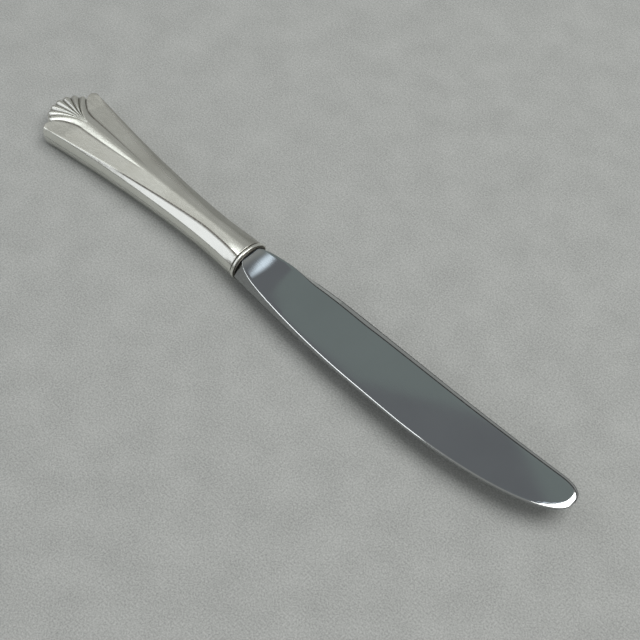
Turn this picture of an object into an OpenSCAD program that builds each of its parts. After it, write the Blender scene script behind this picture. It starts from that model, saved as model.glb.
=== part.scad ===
// Hollow-handled fruit knife, lying flat.
// X runs from the butt to the point, the cutting edge is on the +Y side and the table is at z = 0.
// The handle is two pressed halves soldered together. The blade, bolster and tang are one forging.

/* [Overall] */
// Whole length, butt to point
overall_l = 178; // [148:1:215]
// Length of the handle with its collar
handle_l = 77.2; // [64:0.2:94]
// Half thickness of the handle at the butt
butt_t = 3.15; // [2.6:0.05:3.8]
// Half thickness of the handle at the mouth
neck_t = 4.7; // [4.2:0.05:5.6]

/* [Handle outline] */
// Half width at the butt's corners
butt_w = 9.1; // [7.6:0.1:11]
// Half width at the waist
waist_w = 4.6; // [4.1:0.05:5.6]
// Half width at the mouth
mouth_w = 5.25; // [4.6:0.05:6]
// Distance of the waist from the mouth
waist_back = 14.5; // [10:0.5:18]
// Length over which the neck rounds into the mouth's oval
mouth_run = 7; // [5:0.5:10]
// How far the side walls belly out at the seam
side_bulge = 0.35; // [0.1:0.05:0.6]
// Thickness of the pressed sheet
wall = 0.5; // [0.4:0.05:0.65]
// Thickness of the solder layer between the halves
seam_t = 0.12; // [0.08:0.02:0.2]

/* [Panels] */
// Half width of the hollow panels at the waist
panel_neck_w = 2.1; // [1.4:0.1:2.6]
// Half width of the panels at the mouth
panel_mouth_w = 2.8; // [2:0.1:3.2]
// Inset of the panel's outer arris from the butt's corner
panel_inset = 0.1; // [0.05:0.05:0.4]
// Hollow of a panel for each millimetre of its width
panel_sag = 0.012; // [0.005:0.001:0.03]
// Fall of a panel to its outer arris for each millimetre of its width
panel_fall = 0.08; // [0.04:0.01:0.1]
// Most that a panel falls
panel_drop = 0.42; // [0.3:0.02:0.5]
// Height of the bevel's lower edge at the neck
bevel_neck_z = 2.25; // [1.8:0.05:2.7]
// Depth of the bevel at the butt
bevel_butt = 0.15; // [0.1:0.05:0.4]
// Half width of the raised crest line along the axis
crest_half = 0.4; // [0.3:0.05:0.5]
// Height of the flat crest above the panels' edge
land_h = 0.03; // [0.02:0.01:0.05]

/* [Fan and stem] */
// Radius of the fan
fan_r = 6.8; // [5.6:0.1:7.6]
// Number of lobes in the fan
lobes = 7; // [5:2:9]
// Depth of the grooves between lobes
lobe_h = 0.5; // [0.3:0.05:0.6]
// Depth of the scallops in the fan's outline
scallop = 0.45; // [0.2:0.05:0.55]
// Angle from the axis to the fan's side
fan_span = 78; // [70:1:82]
// How far the fan's rim curls down
fan_drop = 0.55; // [0.3:0.05:0.9]
// Distance of the butt's corners from the fan's centre
corner_off = 0.4; // [0.2:0.1:1.2]
// Distance of the throat from the fan's centre
throat_off = 6.6; // [5.6:0.2:8]
// Half width of the stem at the throat
stem_w = 2.3; // [1.8:0.1:2.8]
// Height of the stem above the panels
stem_h = 0.25; // [0.2:0.05:0.4]
// Length of the stem past the throat
stem_l = 24; // [16:1:28]

/* [Collar] */
// Length of the bead at the mouth
bead_l = 1.4; // [1.1:0.1:1.8]
// How far the bead stands out from the halves at the sides
bead_proud = 0.35; // [0.15:0.05:0.6]
// Roll of the bead's two edges
bead_roll = 0.3; // [0.2:0.05:0.4]
// Length of the sleeve inside the halves
sleeve_l = 3.2; // [2:0.2:5]
// Wall of the sleeve
sleeve_wall = 0.4; // [0.3:0.05:0.5]

/* [Blade] */
// How far the bolster's sides lie inside the bead's
bolster_step = 0.2; // [0.1:0.05:0.6]
// How far the bolster's faces lie below the handle's at the joint
bolster_drop = 1; // [0.7:0.05:1.5]
// Width of the shadow gap between the bead and the bolster
joint_gap = 0.3; // [0.2:0.05:0.5]
// Depth of that gap
joint_depth = 0.5; // [0.3:0.05:0.7]
// Distance from the face's arris to the side at the joint
side_w = 3.4; // [2.6:0.1:4]
// Distance of the edge from the axis
edge_w = 7.9; // [6.6:0.05:9]
// How far the edge turns out near the point
edge_rise = 0.7; // [0:0.1:1]
// Distance of the back from the axis at its widest
back_w = 8.1; // [7:0.05:9]
// Distance of the point from the axis, to the edge's side
point_y = 4.6; // [2:0.1:5.5]
// Part of the blade over which the heel widens
heel_share = 0.28; // [0.2:0.01:0.34]
// Part of the blade over which the back widens
back_share = 0.42; // [0.34:0.01:0.5]
// Part of the blade where the back falls to the point
fall_share = 0.44; // [0.36:0.01:0.5]
// Half thickness of the blade at the bolster, without the hollow shoulder
root_t = 1.05; // [0.8:0.05:1.2]
// Half thickness at the point
point_t = 0.5; // [0.4:0.05:0.7]
// Part of the blade taken by the hollow shoulder in front of the bolster
shoulder_share = 0.42; // [0.34:0.01:0.5]
// Start of the ground edge from the joint
grind_start = 10; // [8:0.5:16]
// Length of the grind's run-in
grind_run = 7; // [4:0.5:9]
// Most width of the ground edge
grind_w = 1.5; // [1.1:0.1:2]
// Width of the ground edge for each millimetre of its depth
grind_ratio = 2; // [1.4:0.1:2.6]
// Half thickness left at the edge
edge_t = 0.1; // [0.06:0.02:0.2]

/* [Tang] */
// Length of the tang behind the joint
tang_l = 40; // [28:1:46]
// Half width of the tang at the bolster
tang_w = 2.8; // [2.2:0.1:3.2]
// Half width of the tang at its end
tang_end_w = 1.7; // [1.2:0.1:2.2]
// Half thickness of the tang
tang_t = 1.3; // [1:0.1:1.5]

/* [Fits] */
// Gap left where one piece is fitted inside another
fit_gap = 0.05; // [0.03:0.01:0.1]
// Gap between the cement and the pressed halves
core_gap = 0.12; // [0.1:0.01:0.2]

/* [Hidden] */

// Stations along X, from the end of the fan
shell_end = handle_l - bead_l;
fan_x = fan_r + side_bulge;
corner_x = fan_x + corner_off;
throat_x = fan_x + throat_off;
stem_end = throat_x + stem_l;
waist_x = handle_l - waist_back;
blade_l = overall_l - handle_l;
sleeve_start = shell_end - sleeve_l;

// The handle thickens to the neck, so the knife leans by this angle when it lies on its crest line
lean = atan((neck_t - butt_t) / shell_end);
rest_z = (butt_t + land_h) * cos(lean);
neck_end = shell_end - mouth_run;
mouth_oval = mouth_w + side_bulge + fit_gap;

// Half widths and thickness where the handle meets the blade
bead_w = mouth_w + side_bulge + bead_proud;
bolster_w = bead_w - bolster_step;
bolster_t = neck_t - bolster_drop;

// Shape of the handle's curves
flare_n = 1.65;
panel_n = 1.25;
bevel_n = 4;
stem_n = 1.3;
flank_n = 1.3;
rim_c = 1 - 1 / lobes;
fan_wall = wall + scallop + fit_gap;
turn_share = 0.3;
turn_swell = 1.05;
end_roll = 0.35;
roll_t = 0.15;
curl_t = 0.45;
lobe_fade = 0.3;
wall_centre = fan_x + 5;
shoulder_bow = [-1.1, 1.3];

// Shape of the hollow inside
cave_spread = 2;
cave_draw = 1.1;
cave_slope = 0.9;
cave_lip = 0.2;
cave_bevel = 0.6;
butt_room = 1;
tiny = 0.01;

// Shape of the blade
edge_round = 6;
edge_n = 2.6;
heel_n = 1.3;
rise_share = 0.35;
fall_n = 1.8;
fall_root = 2.2;
fillet_l = 3;
fillet_h = 0.35;
nose_l = 0.8;
nose_n = 0.96;
side_run = 2.5;
side_belly = 0.62;
side_flat = 0.05;
grind_room = 0.8;

// Counts of the facets
per_lobe = 4;
per_panel = 4;
butt_rows = [0, 0.05, 0.12, 0.22, 0.35, 0.5, 0.66, 0.82];
stem_rows = 6;
neck_rows = 7;
mouth_rows = 5;
wall_levels = 3;
cave_steps = 5;
bead_sides = 48;
corner_steps = 5;
// Each pair is a place along the bead and the part of its roll there: a groove, then a lip highest at lip_at
lip_at = 0.5;
bead_curve = [[0, 1.2], [0.22, 1.2], [0.28, 0.5], [0.4, 0.08], [lip_at, 0],
    [0.64, 0.08], [0.78, 0.5], [0.84, 1.2], [1, 1.2]];

function clamp01(t) = min(max(t, 0), 1);
function ease(t) = let (c = clamp01(t)) c * c * (3 - 2 * c);
function mix(a, b, t) = a + (b - a) * t;
function bez(a, b, c, t) = (1 - t) * (1 - t) * a + 2 * t * (1 - t) * b + t * t * c;
function side(v) = v < 0 ? -1 : 1;

// Half widths and heights of the handle at a station
function toward_butt(x) = clamp01((shell_end - x) / (shell_end - corner_x));
function past_waist(x) = clamp01((waist_x - x) / (waist_x - corner_x));
function to_mouth(x) = pow(clamp01((x - waist_x) / (shell_end - waist_x)), 2);
function rim_half(x) = waist_w + (butt_w - waist_w) * pow(past_waist(x), flare_n)
    + (mouth_w - waist_w) * to_mouth(x);
function panel_half(x) = panel_neck_w + (butt_w - panel_inset - panel_neck_w) * pow(past_waist(x), panel_n)
    + (panel_mouth_w - panel_neck_w) * to_mouth(x);
function crown(x) = mix(butt_t, neck_t, x / shell_end) - seam_t / 2;
function mouthward(x) = ease((x - neck_end) / mouth_run);
function rounded(p, t, w) = let (z = t * sqrt(max(1 - pow(p.y / w, 2), 0)))
    [p.x, p.y, mix(p.z, min(p.z, z), mouthward(p.x))];
function bevel_z(x) = mix(bevel_neck_z, crown(x) - panel_drop - bevel_butt, pow(toward_butt(x), bevel_n));
function along_stem(x) = clamp01((x - throat_x) / stem_l);
function stem_half(x) = mix(stem_w, 2 * crest_half, pow(along_stem(x), stem_n));
function stem_drop(x) = stem_h * (1 - ease(along_stem(x)));
function panel_w(x) = panel_half(x) - stem_half(x);
function sag(x) = panel_sag * panel_w(x);
function fall(x) = min(panel_fall * panel_w(x), panel_drop);

// Fan: c runs from -1 to 1 across it, and t from 0 at its rim to 1 at the throat
function lobe(c) = abs(sin(180 * lobes * (c + 1) / 2));
function flank(a) = pow(clamp01((a - rim_c) / (1 - rim_c)), flank_n);
function crest(a) = land_h * clamp01(2 * (1 - a / rim_c));
function stem_y(a, half) = a < rim_c ? crest_half * a / rim_c
    : mix(crest_half, half, (a - rim_c) / (1 - rim_c));
function fan_end(c) = let (r = fan_r - scallop * (1 - lobe(c)))
    [fan_x - r * cos(fan_span * c), r * sin(fan_span * c)];
function fan_turn(c) = [fan_x + throat_off * turn_share, turn_swell * side(c) * stem_y(abs(c), stem_w)];
function fan_throat(c) = [throat_x, side(c) * stem_y(abs(c), stem_w)];
function curl(t) = fan_drop * pow(clamp01(1 - t / curl_t), 2);
function fan_z(c, t) = mix(-curl(t) - lobe_h * (1 - lobe(c)),
    crest(abs(c)) - stem_h * flank(abs(c)), ease((t - lobe_fade) / (1 - lobe_fade)));

// Top of a half: v is -1 to 1 over the stem, to 2 over a panel and to 3 over a bevel
function stem_pt(t, x, v) = t < 1
    ? let (p = bez(fan_end(v), fan_turn(v), fan_throat(v), t)) [p.x, p.y, crown(p.x) + fan_z(v, t)]
    : [x, side(v) * stem_y(abs(v), stem_half(x)), crown(x) + crest(abs(v)) - stem_drop(x) * flank(abs(v))];
function rolled(t) = end_roll * pow(clamp01(1 - t / roll_t), 2);
function arris_pt(t, x, s) = [x, s * panel_half(x), crown(x) - fall(x) - rolled(t)];
function bevel_pt(t, x, s) = [x, s * rim_half(x), bevel_z(x) - rolled(t)];
function panel_pt(t, x, q, s) = let (hump = 4 * q * (1 - q), bow = hump * pow(1 - t, 3))
    mix(stem_pt(t, x, s), arris_pt(t, x, s), q)
    + [shoulder_bow.x * bow, s * shoulder_bow.y * bow, -sag(x) * hump * ease(t / roll_t)];
function raw_pt(t, x, v) = let (a = abs(v), s = side(v))
    a <= 1 ? stem_pt(t, x, v)
    : a <= 2 ? panel_pt(t, x, a - 1, s)
    : mix(arris_pt(t, x, s), bevel_pt(t, x, s), a - 2);
function top_pt(t, x, v) = rounded(raw_pt(t, x, v), crown(x), mouth_oval);

rows = concat(
    [for (t = butt_rows) [t, mix(corner_x, throat_x, t)]],
    [for (i = [0 : stem_rows - 1]) [1, mix(throat_x, stem_end, i / stem_rows)]],
    [for (i = [0 : neck_rows - 1]) [1, mix(stem_end, neck_end, i / neck_rows)]],
    [for (i = [0 : mouth_rows]) [1, mix(neck_end, shell_end, i / mouth_rows)]]);
half_cols = concat(
    [3],
    [for (i = [0 : per_panel - 1]) 2 - i / per_panel],
    [for (i = [0 : per_lobe * lobes / 2 - 1]) 1 - 2 * i / (per_lobe * lobes)]);
cols = concat(half_cols, [0], [for (i = [len(half_cols) - 1 : -1 : 0]) -half_cols[i]]);
row_n = len(rows);
col_n = len(cols);

// Side and end wall, from the edge of the top down to the seam
rim_keys = concat(
    [for (i = [row_n - 1 : -1 : 0]) [i, 0]],
    [for (j = [1 : col_n - 1]) [0, j]],
    [for (i = [1 : row_n - 1]) [i, col_n - 1]]);
rim_n = len(rim_keys);
function key_pt(k) = top_pt(rows[k[0]][0], rows[k[0]][1], cols[k[1]]);
function outward(p) = let (d = [min(p.x - wall_centre, 0), p.y]) d / norm(d);
function wall_pt(p, f) = let (o = outward(p), b = side_bulge * (1 - pow(1 - f, 2)))
    [p.x + o.x * b, p.y + o.y * b, p.z * (1 - f)];

// Inside of a half, drawn in by the sheet's thickness and an extra gap
cave_first = fan_x - fan_r + fan_wall + 2 * fit_gap;
function cave_half(x, gap) = x < fan_x
    ? sqrt(max(pow(fan_r - fan_wall - gap, 2) - pow(fan_x - x, 2), tiny))
    : min(fan_r - fan_wall + (x - fan_x) * cave_spread,
        rim_half(max(x, corner_x)) + side_bulge - wall * cave_draw) - gap;
function cave_top(x, gap) = crown(x) - wall - gap - sag(max(x, corner_x))
    - (x < throat_x ? max(lobe_h, stem_h) + curl(x / throat_x) : stem_drop(x));
function cave_shoulder(x, gap) = let (h = cave_half(x, gap))
    x < corner_x + 2 * butt_room ? cave_slope * h
    : min(h - side_bulge + wall * cave_lip, rim_half(x) - wall - gap);
function cave_ring(x, gap) = let (
        h = cave_half(x, gap),
        z = cave_top(x, gap),
        s = cave_shoulder(x, gap),
        pz = z - fall(max(x, corner_x)),
        sz = min(bevel_z(max(x, corner_x)) - wall * cave_bevel - gap, pz),
        p = min(panel_half(max(x, corner_x)) - wall, s * cave_slope),
        ring = [[x, h, 0], [x, s, sz], [x, p, pz], [x, 0, z], [x, -p, pz], [x, -s, sz], [x, -h, 0]])
    [for (q = ring) rounded(q, crown(x) - wall - gap, mouth_oval - wall - gap)];
cave_grid = concat(
    [for (f = [0, 0.1, 0.25, 0.5, 0.75, 1]) mix(cave_first, fan_x, f)],
    [for (f = [0.5, 1]) mix(fan_x, corner_x + butt_room, f)],
    [for (f = [0.25, 0.5, 0.75, 1]) mix(corner_x + butt_room, throat_x, f)],
    [for (i = [1 : cave_steps]) mix(throat_x, stem_end, i / cave_steps)],
    [for (i = [1 : cave_steps]) mix(stem_end, neck_end, i / cave_steps)],
    [for (i = [1 : mouth_rows]) mix(neck_end, sleeve_start, i / mouth_rows)],
    [for (i = [1 : mouth_rows]) mix(sleeve_start, shell_end, i / mouth_rows)]);
function cave_stations(last, gap) = concat(
    [cave_first + gap],
    [for (x = cave_grid) if (x > cave_first + gap + tiny && x < last - tiny) x],
    [last]);

// Joins rings of equal length into one closed solid, with a flat cap at each end.
// The second half of each ring mirrors the first, and so do the facets on it.
function ring_faces(n, count) = concat(
    [for (i = [0 : count - 2], j = [0 : n - 1]) let (k = (j + 1) % n, a = i * n, b = a + n)
        each j < n / 2
            ? [[a + j, b + j, a + k], [a + k, b + j, b + k]]
            : [[a + j, b + j, b + k], [a + j, b + k, a + k]]],
    [[for (j = [0 : n - 1]) j]],
    [[for (j = [n - 1 : -1 : 0]) (count - 1) * n + j]]);
module skin(rings) {
    polyhedron(points = [for (r = rings) each r], convexity = 6,
        faces = ring_faces(len(rings[0]), len(rings)));
}

// Hollow of the handle as a closed solid that runs on to the given station
function full_ring(x, gap) = let (h = cave_ring(x, gap))
    concat(h, [for (i = [len(h) - 2 : -1 : 1]) [h[i].x, h[i].y, -h[i].z]]);
function cave_rings(last, gap) = [for (x = cave_stations(last, gap)) full_ring(x, gap)];

// One pressed half, open at the mouth, with its flat edge at z = 0
module half_shell() {
    wall_base = row_n * col_n;
    hub = wall_base + rim_n * wall_levels;
    pts = concat(
        [for (r = rows, v = cols) top_pt(r[0], r[1], v)],
        [for (k = rim_keys, l = [1 : wall_levels]) wall_pt(key_pt(k), l / wall_levels)],
        [[corner_x, 0, 0]]);
    function top_id(i, j) = i * col_n + j;
    function wall_id(k, l) = l == 0 ? top_id(rim_keys[k][0], rim_keys[k][1])
        : wall_base + k * wall_levels + l - 1;
    function left_id(i) = wall_id(row_n - 1 - i, wall_levels);
    function right_id(i) = wall_id(rim_n - row_n + i, wall_levels);
    top_faces = [for (i = [0 : row_n - 2], j = [0 : col_n - 2]) each [
        [top_id(i, j), top_id(i + 1, j), top_id(i, j + 1)],
        [top_id(i, j + 1), top_id(i + 1, j), top_id(i + 1, j + 1)]]];
    wall_faces = [for (k = [0 : rim_n - 2], l = [0 : wall_levels - 1]) each [
        [wall_id(k, l), wall_id(k + 1, l), wall_id(k, l + 1)],
        [wall_id(k, l + 1), wall_id(k + 1, l), wall_id(k + 1, l + 1)]]];
    butt_faces = [for (k = [row_n - 1 : rim_n - row_n - 1])
        [hub, wall_id(k, wall_levels), wall_id(k + 1, wall_levels)]];
    hub_faces = [
        [hub, left_id(1), left_id(0)],
        [hub, right_id(1), left_id(1)],
        [hub, right_id(0), right_id(1)]];
    seam_faces = [for (i = [1 : row_n - 2]) each [
        [left_id(i), right_id(i), left_id(i + 1)],
        [right_id(i), right_id(i + 1), left_id(i + 1)]]];
    mouth_face = concat(
        [for (l = [wall_levels : -1 : 1]) wall_id(rim_n - 1, l)],
        [for (j = [col_n - 1 : -1 : 0]) top_id(row_n - 1, j)],
        [for (l = [1 : wall_levels]) wall_id(0, l)]);
    difference() {
        polyhedron(points = pts, convexity = 8,
            faces = concat(top_faces, wall_faces, butt_faces, hub_faces, seam_faces, [mouth_face]));
        skin(cave_rings(shell_end + bead_l, 0));
    }
}

// Oval at a station, drawn in by d
function oval(x, w, t, d) = [for (i = [0 : bead_sides - 1])
    let (a = 360 * i / bead_sides) [x, (w - d) * cos(a), (t - d) * sin(a)]];

// Outline of the blade at a distance s from the joint: edge side, back side and half thickness
heel_l = blade_l * heel_share;
back_l = blade_l * back_share;
shoulder_l = blade_l * shoulder_share;
fall_start = blade_l * (1 - fall_share);
grind_end = grind_start + grind_run;
tip_start = blade_l - edge_round;
shoulder_rise = bolster_t - root_t - fillet_h;
function straight_edge(s) = mix(bolster_w, edge_w, pow(sin(90 * clamp01(s / heel_l)), heel_n))
    + edge_rise * pow(clamp01(1 - (tip_start - s) / (blade_l * rise_share)), 2);
function edge_y(s) = let (u = clamp01((s - tip_start) / edge_round))
    mix(point_y, straight_edge(min(s, tip_start)), pow(1 - pow(u, edge_n), 1 / edge_n));
function back_y(s) = let (u = clamp01((s - fall_start) / (blade_l - fall_start)))
    s < fall_start ? mix(bolster_w, back_w, sin(90 * clamp01(s / back_l)))
    : (back_w + point_y) * pow(1 - pow(u, fall_n), 1 / fall_root) - point_y;
function face_t(s) = mix(root_t, point_t, s / blade_l)
    + shoulder_rise * pow(clamp01(1 - s / shoulder_l), 2)
    + fillet_h * pow(clamp01(1 - s / fillet_l), 2);
function nose(s) = sqrt(1 - pow(clamp01((s - blade_l + nose_l) / nose_l), 2) * nose_n);
function ground(s) = ease((s - grind_start) / grind_run);

// Side of the blade's section: round at the bolster, then nearly upright under a crisp arris
function side_pt(s, f) = let (t = face_t(s) * nose(s))
    bez([0, side_flat * t], [0, side_belly * t], [side_w / (1 + s / side_run), t], f);
function back_corner(s, f) = let (p = side_pt(s, 1 - f)) [p[0] - back_y(s), p[1]];
function edge_corner(s, f) = let (
        p = side_pt(s, f),
        t = face_t(s) * nose(s),
        room = (edge_y(s) + back_y(s)) / 2,
        gw = min(grind_ratio * (face_t(s) - edge_t), grind_w, room * grind_room),
        cut = [edge_y(s) - gw * f, mix(min(edge_t, t / 2), t, f)])
    mix([edge_y(s) - p[0], p[1]], cut, ground(s));
function half_section(s) = concat(
    [for (i = [0 : corner_steps]) edge_corner(s, i / corner_steps)],
    [for (i = [0 : corner_steps]) back_corner(s, i / corner_steps)]);
function section(s) = let (h = half_section(s), n = len(h), x = handle_l + s) concat(
    [for (p = h) [x, p[0], p[1]]],
    [for (i = [n - 1 : -1 : 0]) [x, h[i][0], -h[i][1]]]);
function sized_ring(ring, x, w, t) = let (
        ym = max([for (p = ring) abs(p.y)]),
        zm = max([for (p = ring) abs(p.z)]))
    [for (p = ring) [x, p.y * w / ym, p.z * t / zm]];
blade_stations = concat(
    [for (f = [0, 0.1, 0.25, 0.45, 0.7, 1]) mix(joint_gap, fillet_l, f)],
    [for (f = [0.25, 0.5, 0.75, 1]) mix(fillet_l, grind_start, f)],
    [for (f = [0.2, 0.4, 0.6, 0.8, 1]) mix(grind_start, grind_end, f)],
    [for (f = [0.2, 0.4, 0.6, 0.8, 1]) mix(grind_end, shoulder_l, f)],
    [for (f = [0.5, 1]) mix(shoulder_l, fall_start, f)],
    [for (f = [0.15, 0.3, 0.45, 0.6, 0.75, 0.9, 1]) mix(fall_start, tip_start, f)],
    [for (a = [15 : 10 : 75]) tip_start + edge_round * sin(a)],
    [for (f = [0.997, 0.9995]) tip_start + edge_round * f]);

module handle_front() {
    color("silver") translate([0, 0, seam_t / 2]) half_shell();
}

module handle_back() {
    color("gainsboro") mirror([0, 0, 1]) translate([0, 0, seam_t / 2]) half_shell();
}

module seam_solder() {
    stations = cave_stations(shell_end, 0);
    outer = [for (k = rim_keys) let (p = wall_pt(key_pt(k), 1)) [p.x, p.y]];
    inner_edge = [for (i = [len(stations) - 1 : -1 : 0]) [stations[i], -cave_half(stations[i], 0)]];
    inner_back = [for (x = stations) [x, cave_half(x, 0)]];
    color("lightsteelblue") translate([0, 0, -seam_t / 2])
        linear_extrude(seam_t) polygon(concat(outer, inner_edge, inner_back));
}

// Sleeve of the collar: it follows the hollow of the halves, and its last ring is inside the bead
function sleeve_rings() = let (
        seat = [for (i = [0 : mouth_rows]) mix(sleeve_start, shell_end, i / mouth_rows)],
        rings = [for (x = seat) full_ring(x, fit_gap)])
    concat(rings, [[for (p = rings[mouth_rows]) [shell_end + bead_l / 2, p.y, p.z]]]);

module mouth_collar() {
    bead_t = crown(shell_end + bead_l * lip_at) + seam_t / 2 + land_h - tiny;
    hole_w = cave_shoulder(sleeve_start, fit_gap) - sleeve_wall;
    hole_t = cave_top(sleeve_start, fit_gap) - sleeve_wall;
    color("white") difference() {
        union() {
            skin([for (b = bead_curve) oval(shell_end + bead_l * b[0], bead_w, bead_t, bead_roll * b[1])]);
            skin(sleeve_rings());
        }
        translate([sleeve_start - bead_l, 0, 0]) rotate([90, 0, 90]) linear_extrude(sleeve_l + 3 * bead_l)
            polygon([for (p = oval(0, hole_w, hole_t, 0)) [p.y, p.z]]);
    }
}

// Tang: flat on both faces with round sides, tapering in width to its end
function tang_rings(front, gap) = let (r = section(joint_gap)) [
    sized_ring(r, handle_l - tang_l - gap, tang_end_w + gap, tang_t + gap),
    sized_ring(r, front, tang_w + gap, tang_t + gap)];

module blade() {
    first = section(joint_gap);
    waisted = [for (x = [handle_l, handle_l + joint_gap])
        sized_ring(first, x, bolster_w - joint_depth, bolster_t - joint_depth)];
    color("slategray") skin(concat(tang_rings(handle_l, 0), waisted, [for (s = blade_stations) section(s)]));
}

module cement_core() {
    color("tan") difference() {
        skin(cave_rings(sleeve_start - fit_gap, core_gap));
        skin(tang_rings(handle_l + joint_gap, fit_gap));
    }
}

module place() {
    translate([-overall_l * cos(lean) / 2, 0, rest_z]) rotate([0, -lean, 0]) children();
}

place() handle_front();
place() handle_back();
place() seam_solder();
place() mouth_collar();
place() blade();
place() cement_core();
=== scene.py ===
from math import atan2, cos, exp, hypot, pi, radians, sin, sqrt, tan
import bmesh
import bpy
from mathutils import Matrix, Vector


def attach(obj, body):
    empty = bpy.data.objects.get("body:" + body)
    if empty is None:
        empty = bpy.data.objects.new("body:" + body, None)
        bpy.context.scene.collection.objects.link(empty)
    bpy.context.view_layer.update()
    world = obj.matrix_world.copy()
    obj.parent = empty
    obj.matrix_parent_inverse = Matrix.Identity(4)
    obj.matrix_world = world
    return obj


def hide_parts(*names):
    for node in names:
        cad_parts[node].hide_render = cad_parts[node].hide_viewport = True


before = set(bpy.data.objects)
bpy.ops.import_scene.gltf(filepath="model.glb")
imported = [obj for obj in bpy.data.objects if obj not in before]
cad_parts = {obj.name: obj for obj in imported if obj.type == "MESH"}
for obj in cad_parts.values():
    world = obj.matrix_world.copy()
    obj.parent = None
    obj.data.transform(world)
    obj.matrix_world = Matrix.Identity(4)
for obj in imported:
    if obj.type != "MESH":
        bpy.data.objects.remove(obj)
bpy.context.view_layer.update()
print("frame loaded,", len(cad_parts), "nodes")

# Fruit knife with a hollow silver handle and a polished steel blade, lying on a table.
# Sizes are millimetres on the knife: x from the fan's end to the point, y to the cutting edge,
# z up from the seam. layDown turns them into the frame's metres.
knife = {
    "length": 178.0,
    "handle": 77.2,
    "bead": 1.4,          # length of the collar's bead, the last bit of the handle
    "buttT": 3.15,        # half thickness at the butt
    "neckT": 4.7,         # half thickness at the mouth
    "seam": 0.12,
    "land": 0.03,         # the crest line stands this far over the panels
    "hardFrom": 48,       # degrees, edges sharper than this stay hard
    "faceWeight": 60,     # how far the larger faces lead the shading
}
shellEnd = knife["handle"] - knife["bead"]
lean = atan2(knife["neckT"] - knife["buttT"], shellEnd)
restZ = (knife["buttT"] + knife["land"]) * cos(lean)
layDown = (Matrix.Scale(0.001, 4)
           @ Matrix.Translation((-knife["length"] * cos(lean) / 2, 0, restZ))
           @ Matrix.Rotation(-lean, 4, "Y"))
tiny = 1e-9               # keeps a division off zero


def clamp01(t):
    return min(max(t, 0.0), 1.0)


def ease(t):
    t = clamp01(t)
    return t * t * (3 - 2 * t)


def mix(a, b, t):
    return a + (b - a) * t


def bez(a, b, c, t):
    return (1 - t) * (1 - t) * a + 2 * t * (1 - t) * b + t * t * c


def side(v):
    return -1 if v < 0 else 1


# From 1/n up to 1
def steps(n):
    return [i / n for i in range(1, n + 1)]


# Makes the object, with a grime-and-shade value on each point for the finishes to read: real tarnish
# and dirt mixed with painted shade and painted dark reflections
def makePiece(name, points, faces, grimeAndShade, flip=False):
    up = -1 if flip else 1
    mesh = bpy.data.meshes.new(name)
    mesh.from_pydata([layDown @ Vector((p[0], p[1], up * p[2])) for p in points], [], faces)
    mesh.validate()
    bm = bmesh.new()
    bm.from_mesh(mesh)
    bmesh.ops.recalc_face_normals(bm, faces=bm.faces)
    bm.to_mesh(mesh)
    bm.free()
    dirtAndShade = mesh.attributes.new("grimeAndShade", "FLOAT", "POINT")
    dirtAndShade.data.foreach_set("value", grimeAndShade)
    mesh.shade_smooth()
    mesh.set_sharp_from_angle(angle=radians(knife["hardFrom"]))
    piece = bpy.data.objects.new(name, mesh)
    bpy.context.scene.collection.objects.link(piece)
    shading = piece.modifiers.new("evenShading", "WEIGHTED_NORMAL")
    shading.keep_sharp = True
    shading.weight = knife["faceWeight"]
    return piece


# Handle: two pressed halves with a fan, a stem and two hollow panels.
# The values named Curve are powers that bend a change of size.
handle = {
    "buttW": 9.1, "waistW": 4.6, "mouthW": 5.25, "flareCurve": 1.65,            # half widths
    "waistBack": 14.5, "mouthRun": 7.0, "ovalRoom": 0.05,
    "bulge": 0.35, "wallTurn": 5.0,                   # the wall swells, near the butt endways too
    "panelNeckW": 2.1, "panelMouthW": 2.8, "panelInset": 0.1, "panelCurve": 1.25,
    "panelSag": 0.004, "sagFrom": 0.15,               # a panel's hollow
    "panelFall": 0.08, "panelDrop": 0.42,             # its fall to the outside
    "panelStep": 0.45, "endBow": (1.1, 1.15), "endCurve": 2.6, "endFadeCurve": 3,
    "endRoll": 0.2, "rollTo": 0.12,                   # its end beside the fan
    "bevelNeckZ": 2.25, "bevelButt": 0.15, "bevelCurve": 4,
    "fanR": 6.8, "fanSpan": 75, "fanDrop": 0.55, "dropTo": 0.45, "fanFade": (0.3, 0.7),
    "lobes": 7, "lobeH": 0.6, "lobeCurve": 0.75, "scallop": 0.45,
    "cornerOff": 0.4, "throatOff": 6.6, "throatPull": (0.3, 1.05),
    "stemW": 2.3, "stemH": 0.25, "stemL": 24.0, "stemCurve": 1.3,
    "crestHalf": 0.3, "flankCurve": 1.1,
    "sheet": 0.45,                                    # thickness of the pressed metal
    "stemSoft": 0.12, "arrisSoft": 0.2, "rimSoft": 0.28,                        # roundings
    "endSoft": 0.28, "lobeSoft": 0.95, "lobeBlend": 0.2, "mouthSoft": 0.2,
    "stemReach": (0.015, 0.2), "arrisReach": (0.3, 0.45), "rimReach": 0.45, "endReach": 0.12,
    "lobeCols": 12, "panelCols": 12, "bevelCols": 5, "softCols": 5, "wallRows": 8,
    "fanRows": 36, "fanRowCurve": 1.25, "stemRows": 24, "neckRows": 18, "mouthRows": 14, "lipRows": 4,
}
fanX = handle["fanR"] + handle["bulge"]
cornerX = fanX + handle["cornerOff"]
throatX = fanX + handle["throatOff"]
stemEnd = throatX + handle["stemL"]
waistX = knife["handle"] - handle["waistBack"]
neckEnd = shellEnd - handle["mouthRun"]
mouthOval = handle["mouthW"] + handle["bulge"] + handle["ovalRoom"]
rimC = 1 - 1 / handle["lobes"]                        # the outermost lobe's ridge


def pastWaist(x):
    return clamp01((waistX - x) / (waistX - cornerX))


def toMouth(x):
    return clamp01((x - waistX) / (shellEnd - waistX)) ** 2


def rimHalf(x):
    h = handle
    return (h["waistW"] + (h["buttW"] - h["waistW"]) * pastWaist(x) ** h["flareCurve"]
            + (h["mouthW"] - h["waistW"]) * toMouth(x))


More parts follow.
